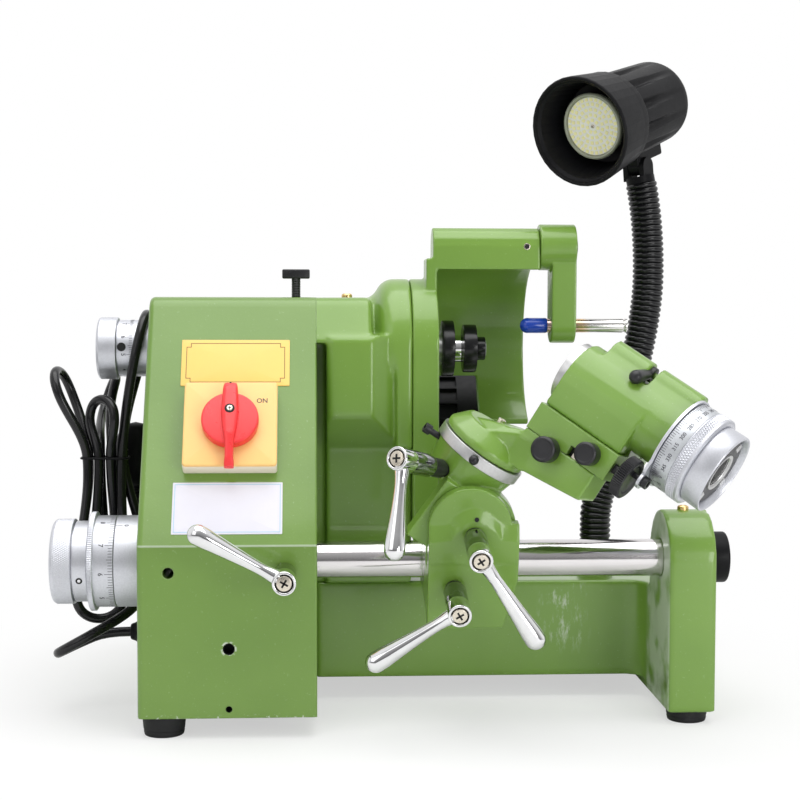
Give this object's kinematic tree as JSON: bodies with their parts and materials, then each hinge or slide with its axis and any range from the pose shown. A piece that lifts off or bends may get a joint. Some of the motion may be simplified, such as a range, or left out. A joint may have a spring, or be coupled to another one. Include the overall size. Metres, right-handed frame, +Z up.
{
  "type": "drill and end mill grinder",
  "caption": "Bench tool grinder: belt-driven wheel spindle with guard and diamond dresser, guide bar with tilting, swivelling indexing work head, and a gooseneck lamp.",
  "frame": {"origin": "on the bench under the machine, midway between the feet", "axes": "+X to the operator's right along the guide bar, +Y away from the operator, +Z up"},
  "size_m": [0.4886, 0.3982, 0.4827],
  "materials": {
    "green_enamel": "glossy green enamel on cast iron",
    "ground_steel": "ground",
    "chrome": "polished",
    "satin_aluminium": "satin, turned",
    "black_oxide": "black oxide",
    "dark_metal": "black paint",
    "black_plastic": "moulded black",
    "black_rubber": "matt black",
    "red_plastic": "gloss red",
    "yellow_plastic": "gloss yellow",
    "blue_plastic": "soft blue",
    "brass": "bright",
    "bulb_glass": "clear front over a white board"
  },
  "bodies": {
    "root": {"bed_casting": "green_enamel", "column_casting": "green_enamel", "headstock_casting": "green_enamel", "rubber_feet": "black_rubber", "bar_feed_sleeve": "satin_aluminium", "bar_end_cap": "black_plastic", "motor_body": "dark_metal", "motor_mount": "green_enamel", "drive_belt": "black_rubber", "belt_cover": "green_enamel", "cover_screws": "black_oxide", "wheel_guard": "green_enamel", "switch_box": "yellow_plastic", "ball_oilers": "brass", "lamp_base": "black_plastic", "gooseneck": "black_plastic", "lamp_bracket": "black_plastic", "cable_gland": "black_plastic", "cord_run": "black_rubber", "cord_hank": "black_rubber", "cord_tie": "black_rubber", "mains_plug": "black_plastic"},
    "motor_rotor": {"motor_shaft": "ground_steel", "motor_pulley": "ground_steel"},
    "infeed": {"infeed_knob": "satin_aluminium"},
    "quill": {"quill_sleeve": "ground_steel", "spindle_bearings": "ground_steel"},
    "spindle": {"spindle_shaft": "ground_steel", "spindle_pulley": "ground_steel", "wheel_flanges": "black_oxide"},
    "bar_feed": {"bar_feed_knob": "satin_aluminium", "bar_feed_dial": "satin_aluminium"},
    "bar": {"guide_bar": "ground_steel"},
    "bar_lever": {"bar_clamp_lever": "chrome"},
    "carriage": {"saddle_bush": "ground_steel"},
    "saddle": {"saddle_body": "green_enamel"},
    "saddle_lever": {"saddle_clamp_lever": "chrome"},
    "tilt_lever": {"tilt_clamp_lever": "chrome"},
    "tilt": {"tilt_block": "green_enamel", "swivel_ring": "ground_steel"},
    "swivel_lever": {"swivel_clamp_lever": "chrome"},
    "arm": {"swivel_arm": "green_enamel", "dovetail_block": "green_enamel"},
    "arm_knob": {"arm_thumb_knob": "black_oxide"},
    "block_knob": {"block_thumb_knob": "black_oxide"},
    "slide_feed": {"slide_feed_wheel": "black_oxide"},
    "head": {"work_head": "green_enamel", "index_plate": "ground_steel"},
    "index": {"index_spindle": "ground_steel", "collet": "ground_steel", "index_dial": "satin_aluminium", "index_handwheel": "satin_aluminium"},
    "index_lock": {"index_lock_lever": "black_oxide"},
    "dresser": {"dresser_arm": "green_enamel"},
    "diamond": {"dresser_rod": "ground_steel", "dresser_cap": "blue_plastic"},
    "switch": {"switch_knob": "red_plastic"},
    "quill_lock": {"lock_screw": "black_oxide"},
    "lamp": {"lamp_head": "black_plastic", "lamp_bulb": "bulb_glass"}
  },
  "joints": [
    {"name": "motor_spin", "type": "hinge", "parent": "root", "child": "motor_rotor", "pos_m": [-0.068, 0.145, 0.185], "axis": [1, 0, 0], "continuous": true},
    {"name": "infeed_turn", "type": "hinge", "parent": "root", "child": "infeed", "pos_m": [0, 0.015, 0.258], "axis": [1, 0, 0], "range_deg": [-1440, 1440]},
    {"name": "quill_slide", "type": "slide", "parent": "root", "child": "quill", "axis": [1, 0, 0], "range_m": [-0.004, 0.004]},
    {"name": "spindle_spin", "type": "hinge", "parent": "quill", "child": "spindle", "pos_m": [0, 0.015, 0.258], "axis": [1, 0, 0], "continuous": true},
    {"name": "bar_feed_turn", "type": "hinge", "parent": "root", "child": "bar_feed", "pos_m": [0, -0.07, 0.112], "axis": [1, 0, 0], "range_deg": [-1440, 1440]},
    {"name": "bar_slide", "type": "slide", "parent": "root", "child": "bar", "axis": [1, 0, 0], "range_m": [-0.008, 0.008]},
    {"name": "bar_lever_turn", "type": "hinge", "parent": "root", "child": "bar_lever", "pos_m": [-0.0994, -0.125, 0.112], "axis": [0, -1, 0], "range_deg": [0, 60]},
    {"name": "carriage_slide", "type": "slide", "parent": "bar", "child": "carriage", "axis": [1, 0, 0], "range_m": [-0.032, 0.08]},
    {"name": "saddle_swing", "type": "hinge", "parent": "carriage", "child": "saddle", "pos_m": [0, -0.07, 0.112], "axis": [1, 0, 0], "range_deg": [-20, 45]},
    {"name": "saddle_lever_turn", "type": "hinge", "parent": "saddle", "child": "saddle_lever", "pos_m": [0.0143, -0.12046, 0.09942], "axis": [0, -0.9703, -0.2419], "range_deg": [0, 60]},
    {"name": "tilt_lever_turn", "type": "hinge", "parent": "saddle", "child": "tilt_lever", "pos_m": [0.027, -0.12965, 0.13629], "axis": [0, -0.9703, -0.2419], "range_deg": [0, 75]},
    {"name": "block_tilt", "type": "hinge", "parent": "saddle", "child": "tilt", "pos_m": [0.027, -0.07919, 0.14887], "axis": [0, 0.9703, 0.2419], "range_deg": [-34, 18]},
    {"name": "swivel_lever_turn", "type": "hinge", "parent": "tilt", "child": "swivel_lever", "pos_m": [0.00433, -0.12093, 0.18096], "axis": [0.5759, 0.7919, -0.2029], "range_deg": [0, 45]},
    {"name": "arm_swivel", "type": "hinge", "parent": "tilt", "child": "arm", "pos_m": [0.03595, -0.10071, 0.19385], "axis": [0.5592, -0.2006, 0.8044], "range_deg": [-60, 70]},
    {"name": "arm_knob_turn", "type": "hinge", "parent": "arm", "child": "arm_knob", "pos_m": [0.07576, -0.13782, 0.19454], "axis": [-0.4989, -0.8563, 0.1333], "range_deg": [0, 270]},
    {"name": "block_knob_turn", "type": "hinge", "parent": "arm", "child": "block_knob", "pos_m": [0.10103, -0.15278, 0.19297], "axis": [-0.4989, -0.8563, 0.1333], "range_deg": [0, 270]},
    {"name": "slide_feed_turn", "type": "hinge", "parent": "arm", "child": "slide_feed", "pos_m": [0.11583, -0.15465, 0.18389], "axis": [0.7066, -0.491, -0.5096], "range_deg": [-720, 900]},
    {"name": "head_slide", "type": "slide", "parent": "arm", "child": "head", "axis": [0.7066, -0.491, -0.5096], "range_m": [-0.004, 0.005]},
    {"name": "index_spin", "type": "hinge", "parent": "head", "child": "index", "pos_m": [0.08231, -0.09722, 0.25478], "axis": [0.7066, -0.491, -0.5096], "continuous": true},
    {"name": "index_lock_turn", "type": "hinge", "parent": "head", "child": "index_lock", "pos_m": [0.14429, -0.13019, 0.24492], "axis": [-0.7066, 0.491, 0.5096], "range_deg": [0, 35]},
    {"name": "dresser_swing", "type": "hinge", "parent": "root", "child": "dresser", "pos_m": [0.0865, 0, 0.3335], "axis": [1, 0, 0], "range_deg": [-60, 45]},
    {"name": "diamond_slide", "type": "slide", "parent": "dresser", "child": "diamond", "axis": [-1, 0, 0], "range_m": [-0.002, 0.02]},
    {"name": "switch_turn", "type": "hinge", "parent": "root", "child": "switch", "pos_m": [-0.137, -0.08098, 0.20307], "axis": [0, 0.8566, -0.516], "range_deg": [0, 60]},
    {"name": "quill_lock_turn", "type": "hinge", "parent": "root", "child": "quill_lock", "pos_m": [-0.093, 0.015, 0.296], "axis": [0, 0, 1], "range_deg": [0, 180]},
    {"name": "lamp_tilt", "type": "hinge", "parent": "root", "child": "lamp", "pos_m": [0.17035, 0.045, 0.39775], "axis": [-0.7226, 0.6912, 0], "range_deg": [-18, 40]}
  ],
  "couplings": [
    {"joint": "spindle_spin", "follows": "motor_spin", "ratio": 1.8571},
    {"joint": "infeed_turn", "follows": "quill_slide", "rad_per_m": 6283.2},
    {"joint": "bar_feed_turn", "follows": "bar_slide", "rad_per_m": 3141.6},
    {"joint": "slide_feed_turn", "follows": "head_slide", "rad_per_m": 3141.6}
  ]
}
